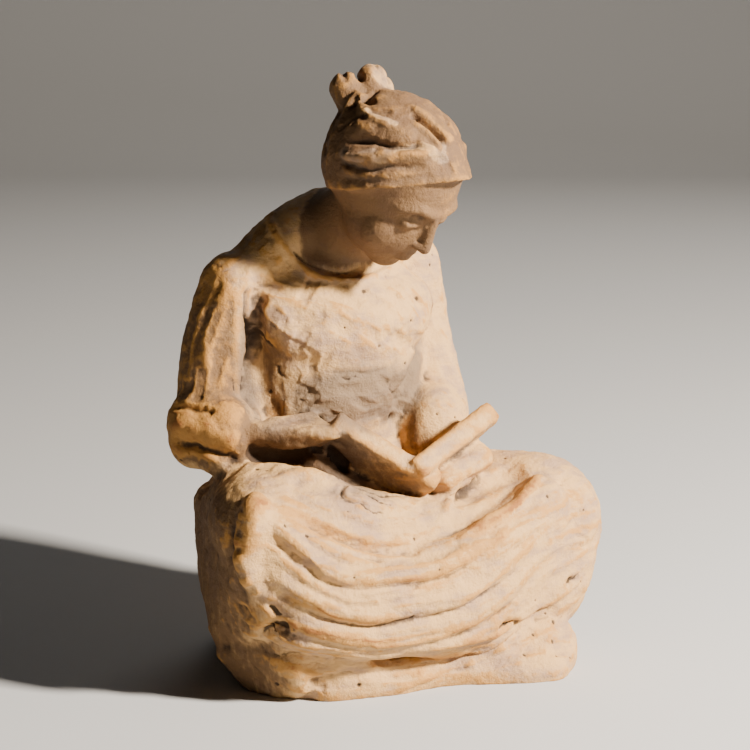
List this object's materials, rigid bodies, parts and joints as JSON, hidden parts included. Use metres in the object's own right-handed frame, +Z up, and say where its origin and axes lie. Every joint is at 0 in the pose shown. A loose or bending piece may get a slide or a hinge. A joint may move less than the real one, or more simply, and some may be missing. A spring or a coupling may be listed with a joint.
{
  "type": "reading woman figurine",
  "caption": "Hand-modelled terracotta figurine of a seated, cross-legged woman in a knotted head scarf and long dress, bent over an open book.",
  "frame": {"origin": "on the ground under the middle of the figure's bounding box", "axes": "+Z up, the woman faces -Y with her left knee towards +X"},
  "size_m": [0.1672, 0.128, 0.2307],
  "materials": {
    "terracotta": "matt"
  },
  "bodies": {
    "root": {"reading_woman": "terracotta"}
  },
  "joints": []
}
